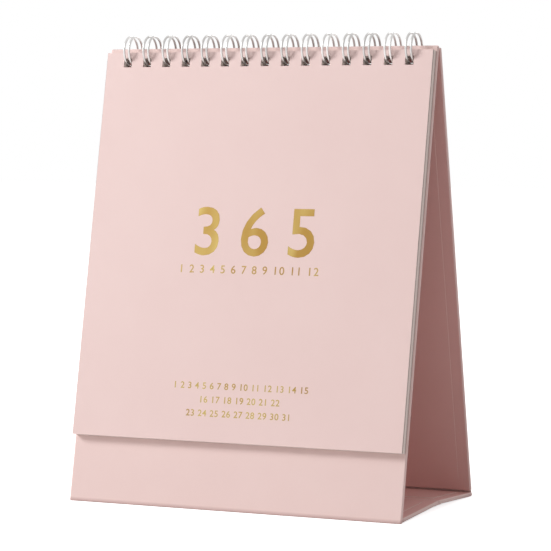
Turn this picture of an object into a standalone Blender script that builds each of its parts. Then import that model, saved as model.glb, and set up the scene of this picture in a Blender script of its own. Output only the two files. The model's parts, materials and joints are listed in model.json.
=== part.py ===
# Stand-up tent calendar: a wrapped board stand that folds flat, and a cover and month sheets
# hung on one twin-loop wire along its ridge. X is the width, -Y the front, +Z up, floor at Z = 0.
#
# Every flat piece is laid out in its panel's own frame: u runs along the panel away from the
# joint that it hangs on, v runs out through its wrapped face, x across it.

import math

import bmesh
import bpy
import numpy as np

MM = 0.001

# Binding wire
LOOPS = 15
LOOP_PITCH = 8.467 * MM
LOOP_RADIUS = 5.8 * MM
WIRE_DIAMETER = 0.9 * MM
LEG_SPACING = 2.1 * MM
ROOT_BEND = 0.9 * MM
ROOT_ANGLE = math.radians(165)
TIP_ANGLE = math.radians(-178)
ARC_STEPS = 12
TIP_STEPS = 4
BEND_STEPS = 2

# Sheets and cover
SHEETS = 12
SHEET_WIDTH = 137.0 * MM
SHEET_HEIGHT = 150.5 * MM
SHEET_THICKNESS = 0.19 * MM
COVER_THICKNESS = 0.3 * MM
SHEET_GAP = 0.05 * MM
STACK_GAP = 0.2 * MM
SHEET_DROP = 1.25 * MM
HOLE = 3.5 * MM
HOLE_MARGIN = 2.3 * MM

# Stand panels
STAND_MARGIN = 0.5 * MM
STAND_SLANT = 178.5 * MM
HALF_ANGLE = math.radians(11.6)
TURNING_CLEARANCE = 0.15 * MM
RIDGE_GAP = 0.8 * MM
BOARD = 1.1 * MM
WRAP = 0.2 * MM
GLUE_LINE = 0.04 * MM
TURN_IN = 12.0 * MM
LINER = 0.15 * MM
LINER_SETBACK = 4.7 * MM
LINER_BELOW_HOLES = 3.0 * MM

# Folding base
CREASE_HEIGHT = 1.8 * MM
CREASE_SHIFT = 0.3 * MM
CREASE_GAP = 1.2 * MM
CREASE_CLEARANCE = 0.25 * MM
FOLD_LIFT = 0.3 * MM
FOLD_GAP = 0.15 * MM
END_GAP = 0.3 * MM
BACK_CLEARANCE = 0.5 * MM
FOOT = 2.0 * MM

# Hinge strips of the wrap
STRIP = 0.15 * MM
STRIP_GAP = 0.05 * MM
STRIP_REACH = 2.6 * MM
STRIP_SIDE = 0.5 * MM

PINK = (0.80, 0.65, 0.61)
DUSTY_PINK = (0.70, 0.53, 0.50)
GREY_BOARD = (0.50, 0.47, 0.43)
PAPER = (0.78, 0.74, 0.70)
SILVER = (0.80, 0.79, 0.78)

# Layers at the ridge, front to back, measured from the middle of the loops
sheet_step = SHEET_THICKNESS + SHEET_GAP
stack = COVER_THICKNESS + SHEETS * sheet_step + STACK_GAP
panel = BOARD + 2 * (WRAP + GLUE_LINE)
cover_face = (stack + 2 * panel + RIDGE_GAP) / 2
front_out = cover_face - stack
front_in = front_out - panel
back_in = RIDGE_GAP - front_in
back_out = back_in + panel
liner_out = GLUE_LINE + LINER

# Heights along the panels, measured down from the middle of the loops. The back panel's top edge is lower,
# so that a sheet turned right over, in line with the front panel, still passes above it.
stand_half = SHEET_WIDTH / 2 + STAND_MARGIN
stand_top = TURNING_CLEARANCE - SHEET_DROP
back_top = (stand_top + back_out * math.sin(2 * HALF_ANGLE)) / math.cos(2 * HALF_ANGLE)
front_foot = stand_top + STAND_SLANT
hole_top = SHEET_DROP + HOLE_MARGIN
hole_middle = hole_top + HOLE / 2
liner_top = hole_top + HOLE + LINER_BELOW_HOLES

# Where the loops' middle stands, with the foot of the front panel and of the base's back edge on the floor
lean_cos = math.cos(HALF_ANGLE)
lean_sin = math.sin(HALF_ANGLE)
ring_z = front_foot * lean_cos - front_out * lean_sin
front_reach = front_out * lean_cos + front_foot * lean_sin
back_reach = back_out * lean_cos + (ring_z + back_out * lean_sin) * math.tan(HALF_ANGLE)
ring_y = (front_reach - back_reach - STRIP - STRIP_GAP) / 2
front_y = ring_y - front_reach
back_y = ring_y + back_reach

# The base: a shallow ridge from the front fold up to the crease and down to the back edge
fold_drop = ring_z + front_in * lean_sin - FOLD_LIFT
fold_y = ring_y - front_in * lean_cos - fold_drop * math.tan(HALF_ANGLE) + FOLD_GAP
crease_y = (fold_y + back_y) / 2 + CREASE_SHIFT
front_rise = math.atan((CREASE_HEIGHT - FOLD_LIFT) / (crease_y - fold_y))
back_rise = math.atan(CREASE_HEIGHT / (back_y - FOOT - crease_y))
front_length = (crease_y - fold_y) / math.cos(front_rise)
crease_lift = panel + liner_out + CREASE_CLEARANCE
crease_z = CREASE_HEIGHT + crease_lift
base_start = panel * (math.tan(HALF_ANGLE) + math.tan(front_rise)) + END_GAP
back_start = crease_lift * math.sin(back_rise)
back_under = crease_lift * math.cos(back_rise)
back_end = back_start + (back_y - crease_y) / math.cos(back_rise)
back_panel_lift = panel * math.cos(back_rise) + (FOOT + panel) * math.sin(back_rise) + BACK_CLEARANCE


def clear_scene():
    for old in list(bpy.data.objects):
        bpy.data.objects.remove(old)


def material(name, colour, roughness, metallic=0.0):
    made = bpy.data.materials.new(name)
    made.use_nodes = True
    shader = made.node_tree.nodes["Principled BSDF"]
    shader.inputs["Base Color"].default_value = (*colour, 1.0)
    shader.inputs["Roughness"].default_value = roughness
    shader.inputs["Metallic"].default_value = metallic
    made.diffuse_color = (*colour, 1.0)
    return made


def joint_axis(name, y, z, turn, parent=None, about=0.0):
    # An empty on a joint's axis; its frame has u along local -Z and v along local -Y
    empty = bpy.data.objects.new(name, None)
    bpy.context.collection.objects.link(empty)
    empty.empty_display_size = 10 * MM
    empty.location = (0.0, y, z)
    empty.rotation_euler = (turn, 0.0, about)
    bpy.context.view_layer.update()
    if parent:
        empty.parent = parent
        empty.matrix_parent_inverse = parent.matrix_world.inverted()
    return empty


def add_object(name, data, frame, finish=None):
    made = bpy.data.objects.new(name, data)
    bpy.context.collection.objects.link(made)
    made.parent = frame
    if finish:
        data.materials.append(finish)
    return made


def mesh_from(name, shape):
    bmesh.ops.recalc_face_normals(shape, faces=shape.faces)
    data = bpy.data.meshes.new(name)
    shape.to_mesh(data)
    shape.free()
    return data


def skinned(name, frame, finish, rings):
    # A closed skin over rectangles given as (v, half width, first u, last u)
    shape = bmesh.new()
    loops = []
    for v, half, first, last in rings:
        corners = ((-half, first), (half, first), (half, last), (-half, last))
        loops.append([shape.verts.new((x, -v, -u)) for x, u in corners])
    for ring, after in zip(loops, loops[1:]):
        for i in range(4):
            j = (i + 1) % 4
            shape.faces.new((ring[i], ring[j], after[j], after[i]))
    shape.faces.new(loops[0])
    shape.faces.new(loops[-1])
    return add_object(name, mesh_from(name, shape), frame, finish)


def banded(name, frame, finish, points, half):
    # A thin strip with its cross-section given as (u, v) points, drawn out across the width
    shape = bmesh.new()
    section = shape.faces.new([shape.verts.new((-half, -v, -u)) for u, v in points])
    drawn = bmesh.ops.extrude_face_region(shape, geom=[section], use_keep_orig=True)
    moved = [v for v in drawn["geom"] if isinstance(v, bmesh.types.BMVert)]
    bmesh.ops.translate(shape, verts=moved, vec=(2 * half, 0.0, 0.0))
    return add_object(name, mesh_from(name, shape), frame, finish)


def loop_centres():
    return [(i - (LOOPS - 1) / 2) * LOOP_PITCH for i in range(LOOPS)]


def punch(name, frame):
    # The row of square holes as one cutter through everything in a panel's frame
    shape = bmesh.new()
    for x in loop_centres():
        corner = bmesh.ops.create_cube(shape, size=HOLE)["verts"]
        bmesh.ops.scale(shape, verts=corner, vec=(1.0, 4 * cover_face / HOLE, 1.0))
        bmesh.ops.translate(shape, verts=corner, vec=(x, 0.0, -hole_middle))
    cutter = add_object(name, mesh_from(name, shape), frame)
    cutter.hide_render = True
    cutter.display_type = "WIRE"
    return cutter


def punched(piece, cutter):
    cut = piece.modifiers.new("punched holes", "BOOLEAN")
    cut.operation = "DIFFERENCE"
    cut.solver = "EXACT"
    cut.object = cutter
    return piece


def wrapped_panel(name, frame, outer, first, last, liner_first, finishes, foot=0.0, rise=0.0):
    # A board in a tray of wrap, whose turn-ins hold it, and a liner over the turn-ins.
    # first and last give u at a level v, at an inset from the panel's end.
    half = stand_half
    inner = outer - panel
    skin_top = inner + WRAP
    skin_floor = outer - WRAP
    inset = WRAP + GLUE_LINE

    def ring(v, gap):
        return (v, half - gap, first(v, gap), last(v, gap))

    rings = [ring(outer, 0.0)]
    if foot:
        foot_line = (outer, half, first(outer, 0.0), last(outer, 0.0) - foot)
        rings = [foot_line, ring(outer - foot * math.tan(rise), 0.0)]
    window = (half - TURN_IN, first(inner, TURN_IN), last(inner, TURN_IN))
    rings += [ring(inner, 0.0), (inner, *window), (skin_top, *window)]
    rings += [ring(skin_top, WRAP), ring(skin_floor, WRAP)]
    wrap = skinned(name + "_wrap", frame, finishes["wrap"], rings)
    board_rings = [ring(outer - inset, inset), ring(inner + inset, inset)]
    board = skinned(name + "_board", frame, finishes["board"], board_rings)
    liner_half = half - LINER_SETBACK
    liner_last = last(inner, LINER_SETBACK)
    liner_levels = (inner - GLUE_LINE, inner - liner_out)
    liner_rings = [(v, liner_half, liner_first, liner_last) for v in liner_levels]
    skinned(name + "_liner", frame, finishes["liner"], liner_rings)
    return wrap, board


def wire_path():
    # One unbroken path in the ring's frame: up each leg from its root, round the ring to the tip and back
    bend = ROOT_BEND / LOOP_RADIUS
    tip = LEG_SPACING / 2 / LOOP_RADIUS
    leg_end = TIP_ANGLE + tip
    leg = np.linspace(ROOT_ANGLE - bend, leg_end, ARC_STEPS + 1)
    turns = [math.pi / 2 * k / BEND_STEPS for k in range(BEND_STEPS)]
    path = []
    for x in loop_centres():
        left = x - LEG_SPACING / 2
        right = x + LEG_SPACING / 2
        for t in turns:
            path.append((left - ROOT_BEND * (1 - math.sin(t)), ROOT_ANGLE - bend * (1 - math.cos(t))))
        path += [(left, angle) for angle in leg]
        for k in range(1, TIP_STEPS):
            t = math.pi * k / TIP_STEPS
            path.append((x - LEG_SPACING / 2 * math.cos(t), leg_end - tip * math.sin(t)))
        path += [(right, angle) for angle in leg[::-1]]
        for t in turns[::-1]:
            path.append((right + ROOT_BEND * (1 - math.sin(t)), ROOT_ANGLE - bend * (1 - math.cos(t))))
    around = [(x, -LOOP_RADIUS * math.cos(a), LOOP_RADIUS * math.sin(a)) for x, a in path]
    return np.array(around)


def least_gap(path):
    # The smallest clear distance between stretches of the wire that aren't neighbours along it
    steps = np.linalg.norm(np.diff(path, axis=0), axis=1)
    run = np.concatenate(([0.0], np.cumsum(steps)))
    places = np.arange(0.0, run[-1], WIRE_DIAMETER / 4)
    points = np.stack([np.interp(places, run, path[:, k]) for k in range(3)], axis=1)
    apart = 4 * LEG_SPACING
    least = math.inf
    for i, point in enumerate(points):
        far = points[places > places[i] + apart]
        if len(far):
            least = min(least, np.linalg.norm(far - point, axis=1).min())
    return least - WIRE_DIAMETER


def binding_wire(frame, finish):
    path = wire_path()
    data = bpy.data.curves.new("twin_loop_wire", "CURVE")
    data.dimensions = "3D"
    data.bevel_depth = WIRE_DIAMETER / 2
    data.bevel_resolution = 1
    data.use_fill_caps = True
    line = data.splines.new("POLY")
    line.points.add(len(path) - 1)
    for point, place in zip(line.points, path):
        point.co = (*place, 1.0)
    line.use_smooth = True
    print("wire's least gap to itself, mm: %.3f" % (least_gap(path) / MM))
    return add_object("twin_loop_wire", data, frame, finish)


def leaf(name, frame, finish, face, thickness, cutter):
    rings = [(v, SHEET_WIDTH / 2, SHEET_DROP, SHEET_DROP + SHEET_HEIGHT) for v in (face, face - thickness)]
    return punched(skinned(name, frame, finish, rings), cutter)


def stand_panels(front, back, finishes):
    front_punch = punch("front_punch", front)
    back_punch = punch("back_punch", back)

    def front_first(v, gap):
        return stand_top + gap

    def back_first(v, gap):
        return back_top + gap

    def front_last(v, gap):
        return (ring_z + v * lean_sin - gap) / lean_cos

    def back_last(v, gap):
        return (ring_z + v * lean_sin - back_panel_lift - gap) / lean_cos

    for piece in wrapped_panel("front", front, front_out, front_first, front_last, liner_top, finishes):
        punched(piece, front_punch)
    for piece in wrapped_panel("back", back, back_out, back_first, back_last, liner_top, finishes):
        punched(piece, back_punch)
    return front_punch


def base_panels(front_fold, crease, finishes):
    def front_first(v, gap):
        return base_start + gap

    def front_last(v, gap):
        return front_length - CREASE_GAP / 2 - gap

    def back_first(v, gap):
        return back_start + CREASE_GAP / 2 + gap

    def back_last(v, gap):
        return back_end - gap

    front_liner = front_first(0.0, LINER_SETBACK)
    back_liner = back_first(back_under, LINER_SETBACK)
    foot = (FOOT, back_rise)
    wrapped_panel("base_front", front_fold, 0.0, front_first, front_last, front_liner, finishes)
    wrapped_panel("base_back", crease, back_under, back_first, back_last, back_liner, finishes, *foot)


def hinge_strips(front_fold, crease, finish):
    # The wrap's own narrow bands across its three folds
    half = stand_half - STRIP_SIDE
    near = STRIP_GAP
    far = STRIP_GAP + STRIP
    fold_end = base_start + STRIP_REACH
    fold = [(FOLD_GAP, near), (fold_end, near), (fold_end, far), (FOLD_GAP, far)]
    banded("front_fold_strip", front_fold, finish, fold, half)

    bend = front_rise + back_rise
    reach = CREASE_GAP / 2 + STRIP_REACH
    across = (front_length + reach * math.cos(bend), reach * math.sin(bend))
    upper = [(front_length - reach, near), (front_length, near), (across[0], across[1] + near)]
    lower = [(u, v + STRIP) for u, v in reversed(upper)]
    banded("crease_strip", front_fold, finish, upper + lower, half)

    lean = math.tan(HALF_ANGLE + back_rise)
    level = back_under - WRAP
    seam = level - panel + WRAP
    edge = back_end + near
    inside = [(edge, level), (edge, seam), (edge - STRIP_REACH * lean, seam - STRIP_REACH)]
    outside = [(u + STRIP, v) for u, v in reversed(inside)]
    banded("back_fold_strip", crease, finish, inside + outside, half)


def build():
    clear_scene()
    finishes = {
        "wrap": material("pink_wrap", PINK, 0.55),
        "board": material("grey_board", GREY_BOARD, 0.9),
        "liner": material("pink_liner", DUSTY_PINK, 0.7),
    }
    paper = material("month_paper", PAPER, 0.7)
    cover_card = material("cover_card", PINK, 0.5)
    silver = material("silver_wire", SILVER, 0.25, 0.9)
    quarter = math.pi / 2
    front = joint_axis("ring_axis", ring_y, ring_z, -HALF_ANGLE)
    back = joint_axis("ridge_axis", ring_y, ring_z, -HALF_ANGLE, about=math.pi)
    front_fold = joint_axis("front_fold_axis", fold_y, FOLD_LIFT, quarter + front_rise, front)
    crease = joint_axis("crease_axis", crease_y, crease_z, quarter - back_rise, front_fold)
    front_punch = stand_panels(front, back, finishes)
    base_panels(front_fold, crease, finishes)
    hinge_strips(front_fold, crease, finishes["wrap"])
    binding_wire(front, silver)
    leaf("front_cover", front, cover_card, cover_face, COVER_THICKNESS, front_punch)
    for i in range(SHEETS):
        face = cover_face - COVER_THICKNESS - SHEET_GAP - i * sheet_step
        leaf("month_sheet_%02d" % (i + 1), front, paper, face, SHEET_THICKNESS, front_punch)
    for empty in (front, front_fold, crease):
        place = empty.matrix_world.translation / MM
        print("%s, mm: y %.4f z %.4f" % (empty.name, place.y, place.z))
    turns = [quarter + HALF_ANGLE + front_rise, math.pi + front_rise + back_rise, 2 * HALF_ANGLE]
    print("turns to flat, degrees: base %.3f crease %.3f ridge %.3f" % tuple(math.degrees(t) for t in turns))
    print("feet, mm: front y %.3f back y %.3f" % (front_y / MM, back_y / MM))


build()
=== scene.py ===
import json
import math

import bmesh
import bpy
from mathutils import Matrix, Vector


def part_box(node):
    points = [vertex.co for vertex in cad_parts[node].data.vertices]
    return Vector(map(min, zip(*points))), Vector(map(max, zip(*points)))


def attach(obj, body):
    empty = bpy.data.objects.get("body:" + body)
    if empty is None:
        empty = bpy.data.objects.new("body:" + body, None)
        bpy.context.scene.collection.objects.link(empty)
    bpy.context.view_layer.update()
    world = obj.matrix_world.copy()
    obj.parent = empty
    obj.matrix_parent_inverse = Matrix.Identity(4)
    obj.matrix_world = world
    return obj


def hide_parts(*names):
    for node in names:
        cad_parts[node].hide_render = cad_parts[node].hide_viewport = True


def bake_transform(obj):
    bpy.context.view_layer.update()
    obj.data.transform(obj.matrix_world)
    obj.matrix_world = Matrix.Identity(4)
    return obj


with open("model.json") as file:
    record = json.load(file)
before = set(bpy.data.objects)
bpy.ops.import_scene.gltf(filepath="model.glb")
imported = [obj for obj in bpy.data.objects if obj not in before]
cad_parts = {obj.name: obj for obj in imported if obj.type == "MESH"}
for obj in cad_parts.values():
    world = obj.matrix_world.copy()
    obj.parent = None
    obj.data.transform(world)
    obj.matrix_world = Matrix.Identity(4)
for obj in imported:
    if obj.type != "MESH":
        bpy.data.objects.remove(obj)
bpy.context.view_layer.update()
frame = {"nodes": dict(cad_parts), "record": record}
nodes = frame["nodes"]
joints = {j["name"]: j for j in frame["record"]["behaviour"]["joints"]}
mm = 0.001

# every panel has its own frame: u runs along it from its joint, v out of its wrapped face, x across
lean = math.radians(11.6)
frontRise = math.radians(2.31726)
backRise = math.radians(2.98938)


def jointPlace(joint):
    return Vector(joints[joint]["pos_m"])


def turned(angle, axis):
    return Matrix.Rotation(angle, 4, axis)


def jointFrame(joint, turn):
    return Matrix.Translation(jointPlace(joint)) @ turned(turn, "X")


frontFrame = jointFrame("turn_cover", -lean)
backFrame = jointFrame("ridge_fold", 0.0) @ turned(math.pi, "Z") @ turned(-lean, "X")
baseFrontFrame = jointFrame("base_fold", math.pi / 2 + frontRise)
baseBackFrame = jointFrame("crease_fold", math.pi / 2 - backRise)


def atPanel(x, u, v):
    return Vector((x, -v, -u))


def pieceFromMesh(name, mesh, materials, stands=(), body=None):
    piece = bpy.data.objects.new(name, mesh)
    bpy.context.scene.collection.objects.link(piece)
    for material in materials:
        mesh.materials.append(material)
    if body:
        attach(piece, body)
    for node in stands:
        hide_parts(node)
    return piece


def meshFromBm(bm, name):
    mesh = bpy.data.meshes.new(name)
    bm.to_mesh(mesh)
    bm.free()
    return mesh


# shader helpers
def nodeGroup(name, inputs, outputs):
    group = bpy.data.node_groups.new(name, "ShaderNodeTree")
    for label, kind, value in inputs:
        socket = group.interface.new_socket(label, in_out="INPUT", socket_type=kind)
        if value is not None:
            socket.default_value = value
    for label in outputs:
        group.interface.new_socket(label, in_out="OUTPUT", socket_type="NodeSocketFloat")
    return group, group.nodes.new("NodeGroupInput"), group.nodes.new("NodeGroupOutput")


def addNode(tree, kind, settings):
    # a setting is one of the node's sockets or, where it has no such socket, a property
    node = tree.nodes.new(kind)
    for key, value in settings.items():
        if key in node.inputs:
            node.inputs[key].default_value = value
        else:
            setattr(node, key, value)
    return node


def mathNode(tree, operation, first, second):
    node = addNode(tree, "ShaderNodeMath", dict(operation=operation))
    for socket, value in zip(node.inputs, (first, second)):
        if isinstance(value, (int, float)):
            socket.default_value = value
        else:
            tree.links.new(value, socket)
    return node.outputs[0]


def scaledPlus(tree, value, scale, base):
    return mathNode(tree, "ADD", mathNode(tree, "MULTIPLY", value, scale), base)


def weighted(tree, first, firstShare, second, secondShare):
    return scaledPlus(tree, first, firstShare, mathNode(tree, "MULTIPLY", second, secondShare))


def opaque(colour):
    return (*colour, 1.0)


# paper: cloudy formation of the sheet, short fibres and a fine tooth
paperTexture = dict(
    cloud=dict(Detail=4.0, Roughness=0.55), tooth=dict(Detail=2.0, Roughness=0.5),
    fibre=dict(Scale=1500.0, Detail=3.0, Roughness=0.6, Distortion=1.4), stretch=(1.0, 3.2, 0.32),
    cloudTone=0.7, fibreTone=0.3, fibreHeight=0.6, toothHeight=0.4,
    # the last three set the patchiness of the painted shade on the lowest edge and on the stack's
    # cut sides
    roughSwing=0.06, bumpDepth=0.04 * mm, shadePatchBase=0.7, contactShadePatches=0.6, edgeShadePatches=0.3,
)


def makePaperGroup():
    group, start, end = nodeGroup(
        "paperFibre",
        [("Vector", "NodeSocketVector", None), ("Tooth", "NodeSocketFloat", 2600.0),
         ("Cloud", "NodeSocketFloat", 45.0)],
        ["Cloud", "Fibre", "Height"])
    cloud, fibre, tooth = (addNode(group, "ShaderNodeTexNoise", paperTexture[layer])
                           for layer in ("cloud", "fibre", "tooth"))
    stretch = addNode(group, "ShaderNodeVectorMath", dict(operation="MULTIPLY"))
    stretch.inputs[1].default_value = paperTexture["stretch"]
    group.links.new(start.outputs["Vector"], cloud.inputs["Vector"])
    group.links.new(start.outputs["Cloud"], cloud.inputs["Scale"])
    group.links.new(start.outputs["Vector"], stretch.inputs[0])
    group.links.new(stretch.outputs[0], fibre.inputs["Vector"])
    group.links.new(start.outputs["Vector"], tooth.inputs["Vector"])
    group.links.new(start.outputs["Tooth"], tooth.inputs["Scale"])
    height = weighted(group, fibre.outputs["Fac"], paperTexture["fibreHeight"],
                      tooth.outputs["Fac"], paperTexture["toothHeight"])
    group.links.new(cloud.outputs["Fac"], end.inputs["Cloud"])
    group.links.new(fibre.outputs["Fac"], end.inputs["Fibre"])
    group.links.new(height, end.inputs["Height"])
    return group


def makeEdgeGroup():
    # painted shade: a stack's cut sides are darkened towards its front and its back, standing in
    # for the shade of the gaps there
    group, start, end = nodeGroup(
        "paintedEdgeShade",
        [("Vector", "NodeSocketVector", None), ("Half Width", "NodeSocketFloat", 68.0 * mm),
         ("Front", "NodeSocketFloat", 3.0 * mm), ("Back", "NodeSocketFloat", 1.0 * mm)],
        ["Mask"])
    split = group.nodes.new("ShaderNodeSeparateXYZ")
    group.links.new(start.outputs["Vector"], split.inputs[0])
    across = mathNode(group, "ABSOLUTE", split.outputs["X"], 0.0)
    side = mathNode(group, "GREATER_THAN", across, start.outputs["Half Width"])
    outward = frontFrame.to_3x3() @ atPanel(0.0, 0.0, 1.0)
    along = addNode(group, "ShaderNodeVectorMath", dict(operation="DOT_PRODUCT"))
    along.inputs[1].default_value = outward
    group.links.new(start.outputs["Vector"], along.inputs[0])
    depth = mathNode(group, "SUBTRACT", along.outputs["Value"], outward.dot(frontFrame.translation))
    front = mathNode(group, "GREATER_THAN", depth, start.outputs["Front"])
    back = mathNode(group, "LESS_THAN", depth, start.outputs["Back"])
    mask = mathNode(group, "MULTIPLY", side, mathNode(group, "MAXIMUM", front, back))
    group.links.new(mask, end.inputs["Mask"])
    return group


paperGroup = makePaperGroup()
edgeGroup = makeEdgeGroup()


def newMaterial(name, group, values):
    # a material with one of the groups in it, on the piece's own coordinates
    material = bpy.data.materials.new(name)
    material.use_nodes = True
    tree = material.node_tree
    place = tree.nodes.new("ShaderNodeTexCoord").outputs["Object"]
    texture = addNode(tree, "ShaderNodeGroup", dict(node_tree=group, **values))
    tree.links.new(place, texture.inputs["Vector"])
    return material, tree, tree.nodes["Principled BSDF"], place, texture


def twoTone(tree, low, high, factor):
    mix = addNode(tree, "ShaderNodeMix", dict(data_type="RGBA", A=opaque(low), B=opaque(high)))
    tree.links.new(factor, mix.inputs["Factor"])
    return mix.outputs["Result"]


def stained(tree, colour, factor, tone):
    mix = addNode(tree, "ShaderNodeMix", dict(data_type="RGBA", B=opaque(tone)))
    tree.links.new(factor, mix.inputs["Factor"])
    tree.links.new(colour, mix.inputs["A"])
    return mix.outputs["Result"]


def finishSurface(tree, shader, look, texture, grain, height):
    low, high = look["rough"] - texture["roughSwing"], look["rough"] + texture["roughSwing"]
    rough = addNode(tree, "ShaderNodeMapRange", {"To Min": low, "To Max": high})
    tree.links.new(grain, rough.inputs["Value"])
    tree.links.new(rough.outputs["Result"], shader.inputs["Roughness"])
    bump = addNode(tree, "ShaderNodeBump",
                   dict(Strength=look["bump"], Distance=texture["bumpDepth"]))
    tree.links.new(height, bump.inputs["Height"])
    tree.links.new(bump.outputs["Normal"], shader.inputs["Normal"])


def scuffMask(tree, look, place, cloud):
    # painted shade: the lowest edge is darkened towards the floor, standing in for the contact
    # shade there
    split = tree.nodes.new("ShaderNodeSeparateXYZ")
    tree.links.new(place, split.inputs[0])
    contactShadeRamp = addNode(tree, "ShaderNodeMapRange", {
        "From Min": look["contactShadeLow"], "From Max": look["contactShadeHigh"],
        "To Min": look["contactShadeAmount"], "To Max": 0.0})
    tree.links.new(split.outputs["Z"], contactShadeRamp.inputs["Value"])
    patches = scaledPlus(tree, cloud, paperTexture["contactShadePatches"], paperTexture["shadePatchBase"])
    return mathNode(tree, "MULTIPLY", contactShadeRamp.outputs["Result"], patches)


def handledMask(tree, look, place, fibre):
    edge = addNode(tree, "ShaderNodeGroup", {
        "node_tree": edgeGroup, "Half Width": look["edgeShadeSide"],
        "Front": look["edgeShadeFront"], "Back": look["edgeShadeBack"]})
    tree.links.new(place, edge.inputs["Vector"])
    patches = scaledPlus(tree, fibre, paperTexture["edgeShadePatches"], paperTexture["shadePatchBase"])
    return mathNode(tree, "MULTIPLY", edge.outputs["Mask"], patches)


def paperMaterial(name, look):
    values = dict(Tooth=look["tooth"], Cloud=look["cloud"])
    material, tree, shader, place, paper = newMaterial(name, paperGroup, values)
    cloud, fibre = paper.outputs["Cloud"], paper.outputs["Fibre"]
    blend = weighted(tree, cloud, paperTexture["cloudTone"], fibre, paperTexture["fibreTone"])
    colour = twoTone(tree, look["dark"], look["light"], blend)
    # painted shade on the lowest edge, near the floor
    if "contactShade" in look:
        colour = stained(tree, colour, scuffMask(tree, look, place, cloud), look["contactShade"])
    # painted shade on the stack's cut sides
    if "edgeShade" in look:
        colour = stained(tree, colour, handledMask(tree, look, place, fibre), look["edgeShade"])
    tree.links.new(colour, shader.inputs["Base Color"])
    finishSurface(tree, shader, look, paperTexture, fibre, paper.outputs["Height"])
    shader.inputs["Specular IOR Level"].default_value = look["shine"]
    return material


# painted shade: the tone and reach of the dark lines on the cut sides of the cover and the month
# stack
paintedEdgeShade = dict(edgeShade=(0.440, 0.375, 0.350), edgeShadeSide=68.4 * mm)

pinkWrap = paperMaterial("pinkWrap", dict(
    dark=(0.790, 0.612, 0.582), light=(0.850, 0.684, 0.654),
    rough=0.55, bump=0.35, shine=0.3, tooth=2600.0, cloud=38.0,
    # painted shade: near the floor the lowest edge darkens towards this tone
    contactShade=(0.500, 0.330, 0.310), contactShadeAmount=0.85, contactShadeLow=0.15 * mm, contactShadeHigh=1.7 * mm))
coverCard = paperMaterial("coverCard", dict(
    dark=(0.795, 0.619, 0.592), light=(0.855, 0.691, 0.664),
    rough=0.5, bump=0.25, shine=0.3, tooth=3000.0, cloud=30.0,
    # painted shade: the cover's cut sides are darkened along their whole depth
    edgeShadeFront=0.0, edgeShadeBack=0.0, **paintedEdgeShade))
# the liner's own rose, deepened as painted shade of the stand's inside
shadedLinerPink = paperMaterial("shadedLinerPink", dict(
    dark=(0.745, 0.478, 0.449), light=(0.815, 0.546, 0.517),
    rough=0.65, bump=0.4, shine=0.25, tooth=2200.0, cloud=42.0))
monthPaper = paperMaterial("monthPaper", dict(
    dark=(0.925, 0.845, 0.795), light=(0.965, 0.900, 0.855),
    rough=0.7, bump=0.35, shine=0.25, tooth=2600.0, cloud=60.0,
    # painted shade: dark lines on the stack's cut sides, behind the cover and next to the panel
    edgeShadeFront=2.85 * mm, edgeShadeBack=1.0 * mm, **paintedEdgeShade))
greyBoard = paperMaterial("greyBoard", dict(
    dark=(0.400, 0.365, 0.325), light=(0.560, 0.520, 0.475),
    rough=0.85, bump=0.8, shine=0.2, tooth=1800.0, cloud=160.0))

# foil, wire and ink: slanting bands of tone and a faint grain; on the gold foil the bands are
# painted sheen
foilTexture = dict(
    slant=dict(Rotation=(0.0, math.radians(34), 0.0), Scale=(1.0, 0.3, 0.3)),
    sweep=dict(Detail=1.5, Roughness=0.4, Distortion=0.3), grain=dict(Scale=4200.0, Detail=2.0),
    spread={"From Min": 0.34, "From Max": 0.66}, roughSwing=0.08, bumpDepth=0.02 * mm,
)


def makeFoilGroup():
    group, start, end = nodeGroup(
        "pressedFoil", [("Vector", "NodeSocketVector", None), ("Bands", "NodeSocketFloat", 60.0)],
        ["Sweep", "Grain"])
    slant = addNode(group, "ShaderNodeMapping", foilTexture["slant"])
    sweep = addNode(group, "ShaderNodeTexNoise", foilTexture["sweep"])
    grain = addNode(group, "ShaderNodeTexNoise", foilTexture["grain"])
    spread = addNode(group, "ShaderNodeMapRange", foilTexture["spread"])
    group.links.new(start.outputs["Vector"], slant.inputs["Vector"])
    group.links.new(slant.outputs["Vector"], sweep.inputs["Vector"])
    group.links.new(start.outputs["Bands"], sweep.inputs["Scale"])
    group.links.new(start.outputs["Vector"], grain.inputs["Vector"])
    group.links.new(sweep.outputs["Fac"], spread.inputs["Value"])
    group.links.new(spread.outputs["Result"], end.inputs["Sweep"])
    group.links.new(grain.outputs["Fac"], end.inputs["Grain"])
    return group


foilGroup = makeFoilGroup()


def foilMaterial(name, look):
    material, tree, shader, _, foil = newMaterial(name, foilGroup, dict(Bands=look["bands"]))
    sweep, grain = foil.outputs["Sweep"], foil.outputs["Grain"]
    colour = twoTone(tree, look["dark"], look["light"], sweep)
    tree.links.new(colour, shader.inputs["Base Color"])
    finishSurface(tree, shader, look, foilTexture, grain, grain)
    shader.inputs["Metallic"].default_value = look["metal"]
    return material


# painted sheen: the gold's slanting light and dark bands stand in for the foil's reflections
goldFoil = foilMaterial("goldFoil", dict(
    dark=(0.325, 0.190, 0.042), light=(0.470, 0.355, 0.120),
    rough=0.38, bump=0.25, metal=0.75, bands=110.0))
silverWire = foilMaterial("silverWire", dict(
    dark=(0.53, 0.52, 0.51), light=(0.69, 0.68, 0.67),
    rough=0.36, bump=0.15, metal=0.9, bands=120.0))
monthInk = foilMaterial("monthInk", dict(
    dark=(0.105, 0.075, 0.070), light=(0.150, 0.110, 0.105),
    rough=0.6, bump=0.1, metal=0.0, bands=200.0))
roseInk = foilMaterial("roseInk", dict(
    dark=(0.460, 0.215, 0.200), light=(0.540, 0.280, 0.260),
    rough=0.55, bump=0.1, metal=0.0, bands=150.0))

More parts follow.
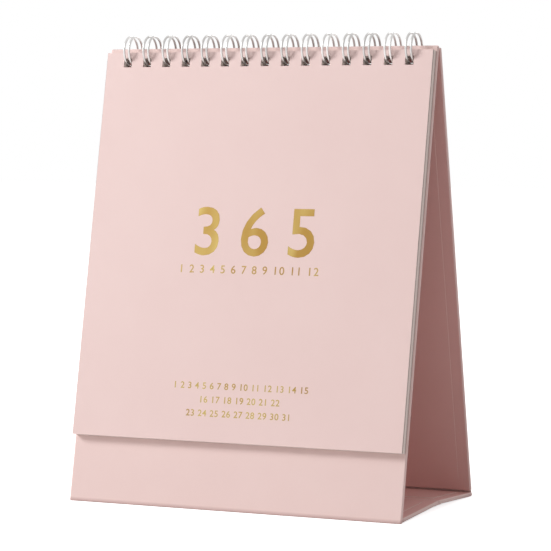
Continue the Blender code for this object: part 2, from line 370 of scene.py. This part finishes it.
slotLook = dict(pink_wrap=pinkWrap, grey_board=greyBoard, pink_liner=shadedLinerPink,
                month_paper=monthPaper, cover_card=coverCard, silver_wire=silverWire)
for part in frame["record"]["subparts"]:
    mesh = nodes[part["node"]].data
    mesh.materials.clear()
    mesh.materials.append(slotLook[part["material_slot"]])
print("stage: materials on", len(nodes), "frame pieces")


# twin-loop wire
wire = dict(
    loops=15, pitch=8.467 * mm, radius=5.8 * mm, diameter=0.9 * mm, legs=2.1 * mm, bend=0.9 * mm,
    root=math.radians(165), tip=math.radians(-178), arcSteps=44, tipSteps=12, bendSteps=5, sides=4,
)


def loopCentres():
    return [(i - (wire["loops"] - 1) / 2) * wire["pitch"] for i in range(wire["loops"])]


def wireRoute():
    # each loop: a bend out of the spine, a leg round, the tip's half turn, and the same back
    bend = wire["bend"] / wire["radius"]
    tipHalf = wire["legs"] / 2
    tipTurn = tipHalf / wire["radius"]
    legStart = wire["root"] - bend
    legEnd = wire["tip"] + tipTurn
    leg = [legStart + (legEnd - legStart) * k / wire["arcSteps"]
           for k in range(wire["arcSteps"] + 1)]
    turns = [math.pi / 2 * k / wire["bendSteps"] for k in range(wire["bendSteps"])]
    into = [(wire["bend"] * (1 - math.sin(t)), wire["root"] - bend * (1 - math.cos(t)))
            for t in turns]
    route = []
    for x in loopCentres():
        left, right = x - tipHalf, x + tipHalf
        route += [(left - away, angle) for away, angle in into]
        route += [(left, angle) for angle in leg]
        for k in range(1, wire["tipSteps"]):
            t = math.pi * k / wire["tipSteps"]
            route.append((x - tipHalf * math.cos(t), legEnd - tipTurn * math.sin(t)))
        route += [(right, angle) for angle in reversed(leg)]
        route += [(right + away, angle) for away, angle in reversed(into)]
    return [Vector((x, -wire["radius"] * math.cos(angle), wire["radius"] * math.sin(angle)))
            for x, angle in route]


def meshFromCurve(curve):
    holder = bpy.data.objects.new("curveHolder", curve)
    bpy.context.scene.collection.objects.link(holder)
    bpy.context.view_layer.update()
    settled = holder.evaluated_get(bpy.context.evaluated_depsgraph_get())
    mesh = bpy.data.meshes.new_from_object(settled)
    bpy.data.objects.remove(holder)
    mesh.materials.clear()
    return mesh


def makeWire():
    curve = bpy.data.curves.new("bindingWire", "CURVE")
    curve.dimensions = "3D"
    curve.bevel_depth = wire["diameter"] / 2
    curve.bevel_resolution = wire["sides"]
    curve.use_fill_caps = True
    line = curve.splines.new("POLY")
    route = wireRoute()
    line.points.add(len(route) - 1)
    for point, place in zip(line.points, route):
        point.co = (*(frontFrame @ place), 1.0)
    line.use_smooth = True
    mesh = meshFromCurve(curve)
    mesh.shade_smooth()
    pieceFromMesh("bindingWire", mesh, [silverWire],
                  ["twin_loop_wire"], "stand_front")


makeWire()
print("stage: wire wound through", wire["loops"], "double loops")


# wrapped panels: a paper skin round each board, its edges rounded over, open where the liner goes
wrapping = dict(paper=0.2 * mm, round=0.55 * mm, roundSteps=5, turnIn=12.0 * mm, foot=2.0 * mm,
                creaseReach=0.45 * mm, sharp=0.5)
punching = dict(hole=3.5 * mm, top=3.55 * mm)
faceOn = 0.9  # least share of a normal that points straight out of a panel
flatWithin = 0.005 * mm


def panelSpan(node, panelFrame):
    inside = panelFrame.inverted()
    places = [inside @ corner.co for corner in nodes[node].data.vertices]
    span = dict(half=max(p.x for p in places), first=min(-p.z for p in places),
                outer=max(-p.y for p in places), inner=min(-p.y for p in places))
    for face in ("outer", "inner"):
        span[face + "Last"] = max(-p.z for p in places if abs(p.y + span[face]) < flatWithin)
    return span


def cutAcross(bm, place, normal):
    everything = bm.verts[:] + bm.edges[:] + bm.faces[:]
    bmesh.ops.bisect_plane(bm, geom=everything, plane_co=place, plane_no=normal)


def inHoleRow(x, u):
    half = punching["hole"] / 2
    return abs(u - punching["top"] - half) < half and any(abs(x - c) < half for c in loopCentres())


def panelBlock(span):
    bm = bmesh.new()
    bmesh.ops.create_cube(bm, size=1.0)
    depth = span["outer"] - span["inner"]
    length = span["innerLast"] - span["first"]
    bmesh.ops.scale(bm, verts=bm.verts, vec=(2 * span["half"], depth, length))
    tip = [v for v in bm.verts if v.co.z < 0.0 and v.co.y < 0.0]  # far end of the wrapped face
    middle = atPanel(0.0, span["first"] + length / 2, span["outer"] - depth / 2)
    bmesh.ops.translate(bm, verts=bm.verts, vec=middle)
    return bm, tip


def wrapBlock(span, footRise):
    bm, tip = panelBlock(span)
    if footRise:  # the base's back edge has a narrow flat foot
        cutAcross(bm, atPanel(0.0, span["innerLast"] - wrapping["foot"], 0.0), (0.0, 0.0, 1.0))
        bmesh.ops.translate(bm, verts=tip, vec=(0.0, wrapping["foot"] * math.tan(footRise), 0.0))
    else:  # the stand's panels end level with the floor
        bmesh.ops.translate(bm, verts=tip, vec=(0.0, 0.0, span["innerLast"] - span["outerLast"]))
    corners = [e for e in bm.edges if e.calc_face_angle() > wrapping["sharp"]]
    bmesh.ops.bevel(bm, geom=corners, offset=wrapping["round"], segments=wrapping["roundSteps"],
                    profile=0.5, affect="EDGES", material=-1)
    return bm


def makeWrap(name, node, body, panelFrame, holes=False, footRise=0.0, startReach=0.0, endReach=0.0):
    span = panelSpan(node, panelFrame)
    span["first"] -= startReach
    for face in ("outer", "inner"):
        span[face + "Last"] += endReach
    bm = wrapBlock(span, footRise)
    windowHalf = span["half"] - wrapping["turnIn"]
    windowFirst = span["first"] + wrapping["turnIn"]
    windowLast = span["innerLast"] - wrapping["turnIn"]
    across = [-windowHalf, windowHalf]
    along = [windowFirst, windowLast]
    if holes:
        across += [c + side * punching["hole"] / 2 for c in loopCentres() for side in (-1, 1)]
        along += [punching["top"], punching["top"] + punching["hole"]]
    for x in across:
        cutAcross(bm, (x, 0.0, 0.0), (1.0, 0.0, 0.0))
    for u in along:
        cutAcross(bm, atPanel(0.0, u, 0.0), (0.0, 0.0, 1.0))
    opened = []
    for face in bm.faces:
        middle = face.calc_center_median()
        x, u = middle.x, -middle.z
        inWindow = face.normal.y > faceOn and abs(x) < windowHalf and windowFirst < u < windowLast
        if inWindow or (holes and abs(face.normal.y) > faceOn and inHoleRow(x, u)):
            opened.append(face)
    bmesh.ops.delete(bm, geom=opened, context="FACES")
    for face in bm.faces:  # the turn-ins take the liner's deeper tone, painted shade of the stand's inside
        face.material_index = 1 if face.normal.y > faceOn else 0
    bmesh.ops.solidify(bm, geom=bm.faces[:], thickness=wrapping["paper"])
    bmesh.ops.transform(bm, matrix=panelFrame, verts=bm.verts)
    pieceFromMesh(name, meshFromBm(bm, name), [pinkWrap, shadedLinerPink], [node], body)


makeWrap("frontWrap", "front_wrap", "stand_front", frontFrame, holes=True)
makeWrap("backWrap", "back_wrap", "stand_back", backFrame, holes=True)
makeWrap("baseFrontWrap", "base_front_wrap", "base_front", baseFrontFrame,
         endReach=wrapping["creaseReach"])
makeWrap("baseBackWrap", "base_back_wrap", "base_back", baseBackFrame,
         footRise=backRise, startReach=wrapping["creaseReach"])
print("stage: boards wrapped")


# liners glued inside: coloured on the face in a rose deepened as painted shade, pale where the
# sheet is cut
liner = dict(corner=0.8 * mm, cornerSteps=4)


def makeLiner(name, node, body, panelFrame):
    bm = panelBlock(panelSpan(node, panelFrame))[0]
    corners = [e for e in bm.edges if abs(e.verts[0].co.y - e.verts[1].co.y) > flatWithin]
    bmesh.ops.bevel(bm, geom=corners, offset=liner["corner"], segments=liner["cornerSteps"],
                    profile=0.5, affect="EDGES", material=-1)
    for face in bm.faces:
        face.material_index = 0 if abs(face.normal.y) > faceOn else 1
    bmesh.ops.transform(bm, matrix=panelFrame, verts=bm.verts)
    pieceFromMesh(name, meshFromBm(bm, name), [shadedLinerPink, monthPaper], [node], body)


makeLiner("frontLiner", "front_liner", "stand_front", frontFrame)
makeLiner("backLiner", "back_liner", "stand_back", backFrame)
makeLiner("baseFrontLiner", "base_front_liner", "base_front", baseFrontFrame)
makeLiner("baseBackLiner", "base_back_liner", "base_back", baseBackFrame)
print("stage: liners laid")


# the wrap's own bands across the folds
hinge = dict(paper=0.15 * mm, gap=0.05 * mm, reach=2.6 * mm, creaseGap=1.2 * mm, cuts=10,
             frontLength=37.0986 * mm, backEnd=36.6233 * mm, under=2.01725 * mm,
             bend=0.4 * mm, bendSteps=5, frontTurn=1.4 * mm, creaseTurn=0.9 * mm)


def bandMesh(name, node, panelFrame, profile, bend=0.0):
    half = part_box(node)[1].x
    bm = bmesh.new()
    points = [bm.verts.new(atPanel(-half, u, v)) for u, v in profile]
    edges = [bm.edges.new(pair) for pair in zip(points, points[1:])]
    drawn = bmesh.ops.extrude_edge_only(bm, edges=edges)["geom"]
    farEnd = [v for v in drawn if isinstance(v, bmesh.types.BMVert)]
    bmesh.ops.translate(bm, verts=farEnd, vec=(2 * half, 0.0, 0.0))
    if bend:
        folds = [e for e in bm.edges if len(e.link_faces) == 2]
        bmesh.ops.bevel(bm, geom=folds, offset=bend, segments=hinge["bendSteps"],
                        profile=0.5, affect="EDGES", material=-1)
    lengthwise = [e for e in bm.edges if abs(e.verts[0].co.x - e.verts[1].co.x) < half]
    bmesh.ops.subdivide_edges(bm, edges=lengthwise, cuts=hinge["cuts"], use_grid_fill=True)
    bmesh.ops.recalc_face_normals(bm, faces=bm.faces)
    bmesh.ops.solidify(bm, geom=bm.faces[:], thickness=hinge["paper"])
    bmesh.ops.transform(bm, matrix=panelFrame, verts=bm.verts)
    return meshFromBm(bm, name)


def makeFrontFold():
    span = panelSpan("front_fold_strip", baseFrontFrame)
    flat = [(span["first"], span["inner"]), (span["innerLast"], span["inner"])]
    mesh = bandMesh("frontFoldBand", "front_fold_strip", baseFrontFrame, flat)
    band = pieceFromMesh("frontFoldBand", mesh, [pinkWrap], ["front_fold_strip"])
    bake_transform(band)


def makeCrease():
    reach = hinge["creaseGap"] / 2 + hinge["reach"]
    turn = frontRise + backRise
    length, gap = hinge["frontLength"], hinge["gap"]
    ridge = [(length - reach, gap), (length, gap),
             (length + reach * math.cos(turn), gap + reach * math.sin(turn))]
    mesh = bandMesh("creaseBand", "crease_strip", baseFrontFrame, ridge, hinge["bend"])
    band = pieceFromMesh("creaseBand", mesh, [pinkWrap], ["crease_strip"])
    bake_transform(band)


def makeBackFold():
    edge = hinge["backEnd"] + hinge["gap"]
    top = panelSpan("base_back_wrap", baseBackFrame)["inner"]
    slope = math.tan(lean + backRise)
    rise = [(edge, hinge["under"] - wrapping["paper"]), (edge, top),
            (edge - hinge["reach"] * slope, top - hinge["reach"])]
    mesh = bandMesh("backFoldBand", "back_fold_strip", baseBackFrame, rise, hinge["bend"])
    pieceFromMesh("backFoldBand", mesh, [pinkWrap], ["back_fold_strip"], "base_back")


makeFrontFold()
makeCrease()
makeBackFold()
print("stage: fold bands laid")


# print: plain numbers pressed in gold foil on the cover
sheet = dict(drop=1.25 * mm, coverFace=3.67 * mm, firstFace=3.32 * mm, step=0.24 * mm)
lettering = dict(smooth=4, weld=1e-5)
coverPrint = dict(
    foil=0.03 * mm,
    bigNumber="365", bigMiddle=(1.9 * mm, 71.2 * mm),
    bigHeight=26.3 * mm, bigBold=0.008, bigSpread=1.5,
    months=range(1, 13), rowMiddle=(0.4 * mm, 84.9 * mm),
    rowHeight=4.4 * mm, rowBold=0.006, rowSpread=1.22,
    dayRows=[range(1, 16), range(16, 23), range(23, 32)],
    dayFirst=(1.3 * mm, 129.5 * mm), dayLead=5.2 * mm,
    dayHeight=3.5 * mm, dayBold=0.012, daySpread=1.1,
)


def textMesh(text, height, thickness, bold=0.0, spread=1.0, smooth=lettering["smooth"]):
    # lettering in the X-Z plane, its middle at the origin and its face towards -Y
    letters = bpy.data.curves.new("letters", "FONT")
    letters.body = text
    letters.align_x = "CENTER"
    letters.align_y = "CENTER"
    letters.space_character = spread
    letters.offset = bold
    letters.extrude = thickness / height / 2
    letters.resolution_u = smooth
    mesh = meshFromCurve(letters)
    bm = bmesh.new()
    bm.from_mesh(mesh)
    bmesh.ops.remove_doubles(bm, verts=bm.verts, dist=lettering["weld"])
    bmesh.ops.scale(bm, verts=bm.verts, vec=(height,) * 3)
    bmesh.ops.rotate(bm, verts=bm.verts, matrix=Matrix.Rotation(math.pi / 2, 3, "X"))
    bm.to_mesh(mesh)
    bm.free()
    return mesh


def onSheet(face, x, down):
    return frontFrame @ Matrix.Translation(atPanel(x, sheet["drop"] + down, face))


def spaced(numbers):
    return " ".join(str(n) for n in numbers)


def foilPiece(name, text, middle, size):
    mesh = textMesh(text, coverPrint[size + "Height"], coverPrint["foil"],
                    coverPrint[size + "Bold"], coverPrint[size + "Spread"])
    mesh.transform(onSheet(sheet["coverFace"] + coverPrint["foil"] / 2, *middle))
    pieceFromMesh(name, mesh, [goldFoil], body="front_cover")


foilPiece("foilBigNumber", coverPrint["bigNumber"], coverPrint["bigMiddle"], "big")
foilPiece("foilMonthRow", spaced(coverPrint["months"]), coverPrint["rowMiddle"], "row")
for i, days in enumerate(coverPrint["dayRows"]):
    across, down = coverPrint["dayFirst"]
    middle = (across, down + i * coverPrint["dayLead"])
    foilPiece("foilDayRow%d" % (i + 1), spaced(days), middle, "day")
print("stage: cover printed")


# month sheets: a large month number, thin rules and the days in seven columns
monthPage = dict(
    ink=0.012 * mm, days=(31, 28, 31, 30, 31, 30, 31, 31, 30, 31, 30, 31),
    numberHeight=18.0 * mm, numberMiddle=(-50.0 * mm, 23.0 * mm), numberBold=0.01, numberSmooth=3,
    dayHeight=6.2 * mm, daySmooth=1, columns=7, columnPitch=17.6 * mm,
    firstRow=47.0 * mm, rowPitch=17.0 * mm,
    ruleWidth=122.0 * mm, rule=0.25 * mm, ruleAbove=8.6 * mm,
)
plainInk, accentInk = 0, 1  # order of the month print's materials


def inkFaces(verts, ink):
    for face in {f for v in verts for f in v.link_faces}:
        face.material_index = ink


def addMesh(bm, mesh, place, ink):
    before = len(bm.verts)
    bm.from_mesh(mesh)
    bm.verts.ensure_lookup_table()
    added = bm.verts[before:]
    bmesh.ops.translate(bm, verts=added, vec=place)
    inkFaces(added, ink)


def addRule(bm, down):
    made = bmesh.ops.create_cube(bm, size=1.0)["verts"]
    size = (monthPage["ruleWidth"], monthPage["ink"], monthPage["rule"])
    bmesh.ops.scale(bm, verts=made, vec=size)
    bmesh.ops.translate(bm, verts=made, vec=atPanel(0.0, down, 0.0))
    inkFaces(made, accentInk)


def printMonth(month, days, firstColumn, dayMeshes):
    page = monthPage
    lastColumn = page["columns"] - 1
    bm = bmesh.new()
    number = textMesh(str(month), page["numberHeight"], page["ink"], page["numberBold"],
                      smooth=page["numberSmooth"])
    addMesh(bm, number, atPanel(*page["numberMiddle"], 0.0), accentInk)
    for day in range(days):
        row, column = divmod(day + firstColumn, page["columns"])
        x = (column - lastColumn / 2) * page["columnPitch"]
        down = page["firstRow"] + row * page["rowPitch"]
        ink = accentInk if column == lastColumn else plainInk
        addMesh(bm, dayMeshes[day], atPanel(x, down, 0.0), ink)
    for row in range((days + firstColumn + lastColumn) // page["columns"]):
        addRule(bm, page["firstRow"] + row * page["rowPitch"] - page["ruleAbove"])
    face = sheet["firstFace"] - (month - 1) * sheet["step"] + page["ink"] / 2
    bmesh.ops.transform(bm, matrix=onSheet(face, 0.0, 0.0), verts=bm.verts)
    name = "monthPrint%02d" % month
    pieceFromMesh(name, meshFromBm(bm, name), [monthInk, roseInk],
                  body="month_sheet_%02d" % month)


def makeMonths():
    page = monthPage
    dayMeshes = [textMesh(str(day + 1), page["dayHeight"], page["ink"], smooth=page["daySmooth"])
                 for day in range(max(page["days"]))]
    firstColumn = 0
    for i, days in enumerate(page["days"]):
        printMonth(i + 1, days, firstColumn, dayMeshes)
        firstColumn = (firstColumn + days) % page["columns"]


makeMonths()
print("stage: month sheets printed")


# floor, light and camera
studio = dict(
    floorSize=8.0, floorShade=(0.74, 0.74, 0.74), floorWhite=0.80,
    ambient=0.445, ambientTint=(1.0, 0.875, 0.860), target=(0.0, 0.0, 0.09),
    keyPlace=(-1.40, -0.98, 1.13), keySize=0.75, keyPower=27.0,
    fillPlace=(-0.95, -0.75, 0.40), fillSize=0.8, fillPower=1.2,
    backPlace=(0.15, 1.55, 0.90), backSize=0.9, backPower=6.0,
)
white = (1.0, 1.0, 1.0)


def aimed(direction):
    return direction.to_track_quat("-Z", "Y").to_euler()


def whiteForCamera(tree):
    # 1 where the camera, a reflection or a clear material looks at the backdrop
    path = tree.nodes.new("ShaderNodeLightPath")
    seen = mathNode(tree, "MAXIMUM", path.outputs["Is Camera Ray"], path.outputs["Is Glossy Ray"])
    return mathNode(tree, "MAXIMUM", seen, path.outputs["Is Transmission Ray"])


def makeFloor():
    bm = bmesh.new()
    bmesh.ops.create_grid(bm, x_segments=1, y_segments=1, size=studio["floorSize"] / 2)
    floor = bpy.data.objects.new("paleFloor", meshFromBm(bm, "paleFloor"))
    bpy.context.scene.collection.objects.link(floor)
    material = bpy.data.materials.new("paleFloor")
    material.use_nodes = True
    tree = material.node_tree
    tree.nodes.clear()
    out = tree.nodes.new("ShaderNodeOutputMaterial")
    both = tree.nodes.new("ShaderNodeAddShader")
    matt = addNode(tree, "ShaderNodeBsdfDiffuse", dict(Color=opaque(studio["floorShade"])))
    glow = addNode(tree, "ShaderNodeEmission", dict(Color=opaque(white)))
    strength = mathNode(tree, "MULTIPLY", whiteForCamera(tree), studio["floorWhite"])
    tree.links.new(strength, glow.inputs["Strength"])
    tree.links.new(matt.outputs[0], both.inputs[0])
    tree.links.new(glow.outputs[0], both.inputs[1])
    tree.links.new(both.outputs[0], out.inputs["Surface"])
    floor.data.materials.append(material)


def makeWorld():
    world = bpy.data.worlds.new("studioWorld")
    bpy.context.scene.world = world
    world.use_nodes = True
    tree = world.node_tree
    sky = tree.nodes["Background"]
    seen = whiteForCamera(tree)
    tree.links.new(twoTone(tree, studio["ambientTint"], white, seen), sky.inputs["Color"])
    level = scaledPlus(tree, seen, 1.0 - studio["ambient"], studio["ambient"])
    tree.links.new(level, sky.inputs["Strength"])


def addSoftbox(name):
    light = bpy.data.lights.new(name + "Softbox", "AREA")
    light.shape = "DISK"
    light.size = studio[name + "Size"]
    light.energy = studio[name + "Power"]
    lamp = bpy.data.objects.new(name + "Softbox", light)
    bpy.context.scene.collection.objects.link(lamp)
    lamp.location = studio[name + "Place"]
    lamp.rotation_euler = aimed(Vector(studio["target"]) - lamp.location)


makeFloor()
makeWorld()
for name in ("key", "fill", "back"):
    addSoftbox(name)

shot = dict(
    azimuth=math.radians(24.56), pitch=math.radians(3.65), distance=0.9622, near=0.01,
    focalPixels=2487.0, framePixels=551, sensor=36.0, target=(1.45 * mm, 0.0, 86.9 * mm),
)


def makeCamera():
    lens = bpy.data.cameras.new("photoCamera")
    lens.sensor_fit = "HORIZONTAL"
    lens.sensor_width = shot["sensor"]
    lens.lens = shot["sensor"] * shot["focalPixels"] / shot["framePixels"]
    lens.clip_start = shot["near"]
    camera = bpy.data.objects.new("photoCamera", lens)
    bpy.context.scene.collection.objects.link(camera)
    level = math.cos(shot["pitch"])
    away = Vector((math.sin(shot["azimuth"]) * level, -math.cos(shot["azimuth"]) * level,
                   math.sin(shot["pitch"])))
    camera.location = Vector(shot["target"]) + away * shot["distance"]
    camera.rotation_euler = aimed(-away)
    bpy.context.scene.camera = camera


makeCamera()
bpy.context.scene.view_settings.view_transform = "Standard"
print("stage: studio and camera set")
